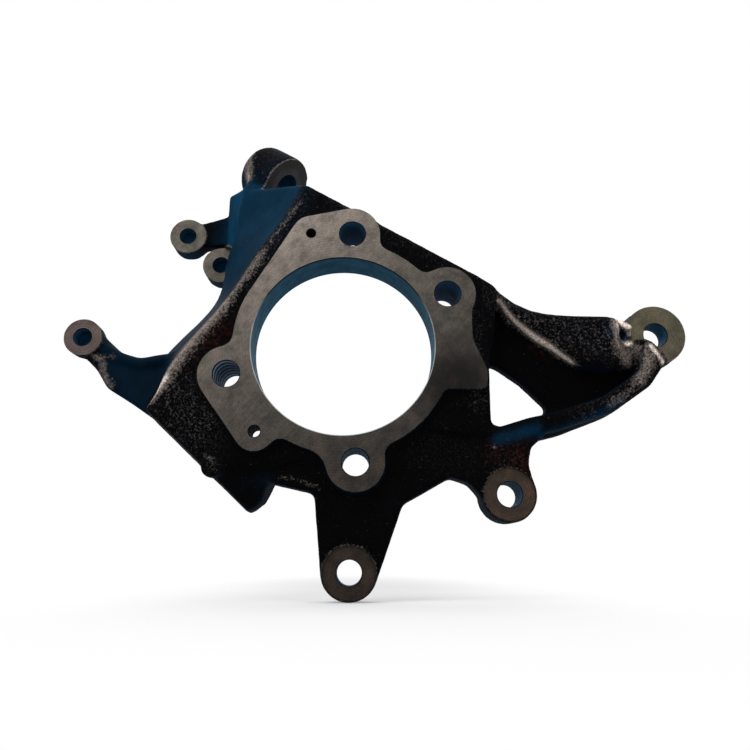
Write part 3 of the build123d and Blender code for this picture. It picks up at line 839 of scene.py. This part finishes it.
class KNUCKLE_OT_machined_seats(bpy.types.Operator):
    """Machine the casting: face the hub seat and the lugs, bore the hub, drill the holes"""
    bl_idname = "knuckle.machined_seats"
    bl_label = "Machined seats"

    def execute(self, context):
        props = context.scene.knuckle
        body = bpy.data.objects["cast_body"]
        face_tone = tuple(props.face_colour)
        # The broken edge of the hub bore gets a painted highlight below and a painted shadow above
        wall = bored_iron("bored_iron_wall", tuple(props.bore_colour), lit_lip_width=1.0)
        drilled = bored_iron("drilled_iron_wall", tuple(props.drilled_colour),
                             scored=point_of("hub_bolt_hole_left"))
        oiled = bored_iron("oiled_iron_wall", linear("#0a0e13"))

        cutter = bmesh.new()
        # The hub seat is painted lighter towards the upper left as painted light, and darker round
        # its lower right as painted shade
        materials = [faced_iron(
            "faced_hub_seat", (0, 0, 0), face_tone, light_slope=(-6.7, 0, 13.0), rings=0.06,
            tone_spot=((56 * MM, 0, -20 * MM), 6 * MM, 30 * MM, 0.12), rust=0.22)]
        # The slab that faces the hub seat is 10 mm thick and 300 mm wide
        slab = bmesh.ops.create_cube(cutter, size=1.0)
        for vert in slab["verts"]:
            vert.co = Vector((vert.co.x * 0.3, -5 * MM + vert.co.y * 10 * MM, vert.co.z * 0.3))
        cut(body, finish_cutter("facing_cutter", cutter, materials))

        cutter = bmesh.new()
        materials = []
        reach = props.facing_stock + FACING_MARGIN * MM
        for name, _, radius, span, code, rust in LUGS:
            centre = point_of(name)
            slot = len(materials)
            materials.append(faced_iron("faced_" + name.replace("_hole", "_lug"), centre,
                                        linear(code), rings=0.1, rust=rust))
            face = Vector(centre)
            if name == "link_hole":
                for less, flat in RIB_CUTS:
                    side_cutter = bmesh.new()
                    add_rod(side_cutter, face, face + OUT * reach, (radius - less) * MM,
                            flat=flat)
                    cut(body, finish_cutter("link_cutter", side_cutter, materials[-1:]))
            else:
                add_rod(cutter, face, face + OUT * reach, radius * MM, slot=slot)
            if span:
                back = face - OUT * span * MM
                add_rod(cutter, back - OUT * reach, back, (radius + BACK_TOOL_MARGIN) * MM,
                        slot=slot)
        for name, radius, span in BOSSES:
            slot = len(materials)
            materials.append(faced_iron("faced_" + name.replace("_hole", "_boss"),
                                        point_of(name), face_tone, rings=0.2))
            back = Vector(point_of(name)) - OUT * span * MM
            add_rod(cutter, back - OUT * reach, back, (radius + BACK_MARGIN) * MM, slot=slot)
        joint, axis, half = joint_place()
        slot = len(materials)
        front = tuple(joint - axis * half)
        materials.append(faced_iron("faced_joint_boss", tuple(joint), linear("#171719"),
                                    rings=0.1, tone_spot=(front, 9.5 * MM, 12.5 * MM, 2.0)))
        add_rod(cutter, joint - axis * (half + reach), joint - axis * half,
                (JOINT_BOSS_RADIUS + FACING_MARGIN) * MM, slot=slot)
        cut(body, finish_cutter("lug_cutter", cutter, materials))

        rods = []
        for name, face, axis, radius, length in bores():
            if name != "hub_bore":
                start = face + axis * DRILL_OVERRUN * MM
                end = face - axis * (length if name in BLIND else length + DRILL_OVERRUN * MM)
                rods.append(((start + end) / 2, axis, radius, (start - end).length))
        small = [rod for rod in rods if rod[2] < OILED_HOLE_RADIUS * MM]
        large = [rod for rod in rods if rod[2] >= OILED_HOLE_RADIUS * MM]
        cut(body, drills("hole_drills", large, drilled))
        cut(body, drills("small_drills", small, oiled))

        # The relief is cut a little into the ring, so that no skin is left on its floor
        r, depth = MOUNTS["hub_bore"]["dims"]["r_mm"] * MM, HUB_DEPTH * MM
        chamfer = HUB_CHAMFER * MM
        turned = r + HUB_RELIEF * MM
        ring = faced_iron("faced_back_ring", (0, 0, 0), linear("#35312d"), rings=0.1)
        for name, near, far, near_radius, far_radius, material in (
                ("bore", -3 * MM, 60 * MM, r, r, wall),
                ("relief", depth - RELIEF_OVERCUT * MM, 60 * MM, turned, turned, ring),
                ("back_chamfer", depth - chamfer, depth + chamfer, r, r + 2 * chamfer, wall),
                ("front_chamfer", -chamfer / 2, chamfer / 2, r + chamfer, r - HAIR * MM, wall)):
            cutter = bmesh.new()
            add_rod(cutter, (0, near, 0), (0, far, 0), near_radius, end_radius=far_radius,
                    sides=BORE_SIDES)
            cut(body, finish_cutter(name + "_cutter", cutter, [material]))

        cutter = bmesh.new()
        step = props.hole_chamfer
        for name, face, axis, radius, _ in bores():
            if name not in ("hub_bore", "joint_bore"):
                add_rod(cutter, face - axis * step, face + axis * step, radius - HAIR * MM,
                        end_radius=radius + 2 * step)
        cut(body, finish_cutter("edge_cutter", cutter, [oiled]))
        return {"FINISHED"}


def finish_cutter(name, bm, materials=()):
    """Make an object of the mesh, with its materials."""
    bmesh.ops.recalc_face_normals(bm, faces=bm.faces)
    mesh = bpy.data.meshes.new(name)
    bm.to_mesh(mesh)
    bm.free()
    for material in materials:
        mesh.materials.append(material)
    return new_object(name, mesh)


def cut(body, tool):
    """Cut the tool out of the body; the new faces take the tool's materials."""
    before = len(body.data.polygons)
    modifier = body.modifiers.new("cut", "BOOLEAN")
    modifier.operation = "DIFFERENCE"
    modifier.object = tool
    modifier.solver = "MANIFOLD"
    modifier.material_mode = "TRANSFER"
    apply_modifiers(body)
    if len(body.data.polygons) == before:
        raise RuntimeError("the cut with " + tool.name + " changed nothing")
    discard(tool)


class KNUCKLE_OT_finish(bpy.types.Operator):
    """Finish the knuckle: masks of rubbed iron and painted highlights, grain glints, blue sides with
    a painted bluish reflection, and rust, and crisp machined edges
    """
    bl_idname = "knuckle.finish"
    bl_label = "Wear and edges"

    def execute(self, context):
        body = bpy.data.objects["cast_body"]
        mesh = body.data
        # A few points of the skin lie up to 0.3 mm past the solid's box in x. They are brought
        # back to it
        points = np.clip(grid_of(mesh).astype(float), *CAD_BOX)
        mesh.vertices.foreach_set("co", points.ravel())
        mesh.update()
        normals = np.zeros(len(mesh.vertices) * 3, np.float32)
        mesh.vertex_normals.foreach_get("vector", normals)
        normals = normals.reshape(-1, 3)
        smooth = flank_mask(points)
        across = np.abs(normals[:, 1])
        behind = smoothstep(0.3, 0.8, normals[:, 1])
        # The recess of the arm's web and its underside get no grain glints, which keeps them black
        # as painted shade
        under = (smoothstep(10 * MM, 13 * MM, points[:, 1])
                 * smoothstep(66 * MM, 70 * MM, points[:, 0]) * (1 - behind))
        web = smoothstep(-80 * MM, -92 * MM, points[:, 0]) * smoothstep(0, 8 * MM,
                                                                      left_of_ridge(points))
        upper = smoothstep(10 * MM, 80 * MM, points[:, 2])
        worn_and_lit = painted(points, WORN_AND_LIT)

        # A painted highlight: a thin bright line where the skin meets a faced place, stronger in the
        # upper half
        faced = [i for i, m in enumerate(mesh.materials) if m and m.name.startswith("faced_")]
        skin_points, faced_points = set(), set()
        for polygon in mesh.polygons:
            kind = faced_points if polygon.material_index in faced else skin_points
            kind.update(polygon.vertices)
        border = sorted(skin_points & faced_points)
        tree = KDTree(len(border))
        for index in border:
            tree.insert(mesh.vertices[index].co, index)
        tree.balance()
        gap = np.array([tree.find(vertex.co)[2] for vertex in mesh.vertices])
        rim = np.exp(-(gap / (1.2 * MM)) ** 2)
        rim *= 0.4 + 0.45 * smoothstep(-20 * MM, 40 * MM, points[:, 2])
        # Sides that turn from the front are painted a little blue, a painted bluish reflection, and
        # the flank is painted bluer towards the top as painted light from above. The back has more
        # grain glints, and the recess of the arm and its underside have none
        sides = 0.1 * smoothstep(0.3, 0.85, 1 - across) * (1 - smooth)
        masks = {
            "smooth": smooth,
            "blue": np.maximum(np.maximum(smooth * (0.21 + 0.22 * upper - 0.06 * web), sides),
                               painted(points, BLUE)),
            "wear_and_highlight": np.maximum(worn_and_lit, rim),
            "grit_glint": np.maximum(painted(points, GRIT_GLINTS), 0.03 + 0.4 * behind)
            * (1 - smooth) * (1 - under),
            "rust": painted(points, RUST),
        }
        for name, values in masks.items():
            set_mask(mesh, name, values)

        # An edge is crisp where two finishes meet and where the surface turns sharply
        bm = bmesh.new()
        bm.from_mesh(mesh)
        for face in bm.faces:
            face.smooth = True
        for edge in bm.edges:
            kinds = {face.material_index for face in edge.link_faces}
            crisp = len(edge.link_faces) != 2 or len(kinds) > 1
            edge.smooth = not (crisp or edge.calc_face_angle(0) > CRISP_ANGLE)
        bm.to_mesh(mesh)
        bm.free()
        body.name = "knuckle_body"
        mesh.name = "knuckle_body"
        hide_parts(CASTING_NODE)
        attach(body, "root")
        return {"FINISHED"}


def seen_strength(add):
    """Full strength for what the camera sees, straight or in a reflection, and less for what
    lights the piece."""
    path = add("ShaderNodeLightPath").outputs
    seen = path["Is Camera Ray"]
    for ray in ("Is Glossy Ray", "Is Transmission Ray"):
        seen = add("ShaderNodeMath", {0: seen, 1: path[ray]}, operation="MAXIMUM").outputs[0]
    return add("ShaderNodeMapRange", {
        "Value": seen, "To Min": 0.45, "To Max": 1.0}).outputs["Result"]


class KNUCKLE_OT_stage(bpy.types.Operator):
    """Build the stage: a pale floor that fades into a white surround, soft lamps and the
    camera"""
    bl_idname = "knuckle.stage"
    bl_label = "Stage"

    def execute(self, context):
        scene = context.scene
        scene.view_settings.view_transform = "Standard"
        mesh = bpy.data.meshes.new("floor")
        reach = 6.0
        level = CAD_BOX[0][2]
        mesh.from_pydata([(-reach, -reach, level), (reach, -reach, level),
                          (reach, reach, level), (-reach, reach, level)], [], [(0, 1, 2, 3)])
        floor = new_object("floor", mesh)
        material, add, place = new_material("pale_paper_floor")
        glow = add("ShaderNodeEmission", {"Strength": seen_strength(add)})
        # Two ovals: a painted shadow darkens the paper round and behind the piece, and away from the
        # piece the paper gives way to the glow of the surround
        ovals = []
        for middle, scale, inner, outer, least, most in (
                ((-0.07, -1.2, 0.0), (5.2, 3.5, 0.0), 0.3, 1.1, 0.56, 0.72),
                ((-0.05, 0.0, 0.0), (6.6, 1.2, 0.0), 0.2, 1.0, 0.3, 1.0)):
            oval = add("ShaderNodeMapping", {"Vector": place, "Location": middle, "Scale": scale})
            gap = add("ShaderNodeVectorMath", {0: oval.outputs["Vector"]}, operation="LENGTH")
            ovals.append(add("ShaderNodeMapRange", {
                "Value": gap.outputs["Value"], "From Min": inner, "From Max": outer,
                "To Min": least, "To Max": most}, interpolation_type="SMOOTHSTEP"))
        tone, away = (oval.outputs["Result"] for oval in ovals)
        paper = add("ShaderNodeBsdfDiffuse", {"Color": tone})
        both = add("ShaderNodeMixShader", {0: away, 1: paper.outputs[0], 2: glow.outputs[0]})
        add("ShaderNodeOutputMaterial", {"Surface": both.outputs[0]})
        mesh.materials.append(material)

        world = bpy.data.worlds.new("white_surround")
        scene.world = world
        world.use_nodes = True
        world.node_tree.nodes.clear()
        add = partial(add_node, world.node_tree)
        sky = add("ShaderNodeBackground", {"Color": (1, 1, 1, 1), "Strength": seen_strength(add)})
        add("ShaderNodeOutputWorld", {"Surface": sky.outputs[0]})

        for name, place, size, power in (
                ("key", (-0.55, -0.75, 0.65), 0.7, 7.0),
                ("fill", (0.7, -0.7, 0.1), 0.7, 2.5),
                ("top", (0.02, -0.05, 0.75), 0.8, 4.5),
                ("back", (0.1, 0.8, 0.6), 1.0, 4.0)):
            lamp = bpy.data.lights.new(name, "AREA")
            lamp.shape = "SQUARE"
            lamp.size = size
            lamp.energy = power
            thing = bpy.data.objects.new(name, lamp)
            scene.collection.objects.link(thing)
            thing.location = place
            aim = Vector((0.02, 0.02, 0.0)) - Vector(place)
            thing.rotation_euler = aim.to_track_quat("-Z", "Y").to_euler()

        # The photo's view, fitted to where the bore, the bolt holes and the lugs lie in it
        lens = bpy.data.cameras.new("camera")
        lens.lens = 36
        lens.sensor_width = 36
        camera = bpy.data.objects.new("camera", lens)
        scene.collection.objects.link(camera)
        camera.location = (9.35 * MM, -352.2 * MM, -102.6 * MM)
        camera.rotation_euler = (math.radians(90 + 13.87), 0, math.radians(-1.03))
        scene.camera = camera
        return {"FINISHED"}


class KNUCKLE_PT_panel(bpy.types.Panel):
    """Panel with the knuckle's steps, sizes and colours"""
    bl_idname = "KNUCKLE_PT_panel"
    bl_label = "Steering knuckle"
    bl_space_type = "VIEW_3D"
    bl_region_type = "UI"
    bl_category = "Knuckle"

    def draw(self, context):
        for operator in OPERATORS:
            self.layout.operator(operator.bl_idname)
        for name in KnuckleProperties.__annotations__:
            self.layout.prop(context.scene.knuckle, name)


OPERATORS = (KNUCKLE_OT_cast_body, KNUCKLE_OT_machined_seats, KNUCKLE_OT_finish,
             KNUCKLE_OT_stage)
CLASSES = (KnuckleProperties, *OPERATORS, KNUCKLE_PT_panel)


def register():
    for cls in CLASSES:
        bpy.utils.register_class(cls)
    bpy.types.Scene.knuckle = PointerProperty(type=KnuckleProperties)


def unregister():
    del bpy.types.Scene.knuckle
    for cls in reversed(CLASSES):
        bpy.utils.unregister_class(cls)


def main():
    register()
    bpy.ops.knuckle.cast_body()
    bpy.ops.knuckle.machined_seats()
    bpy.ops.knuckle.finish()
    bpy.ops.knuckle.stage()


if __name__ == "__main__":
    main()
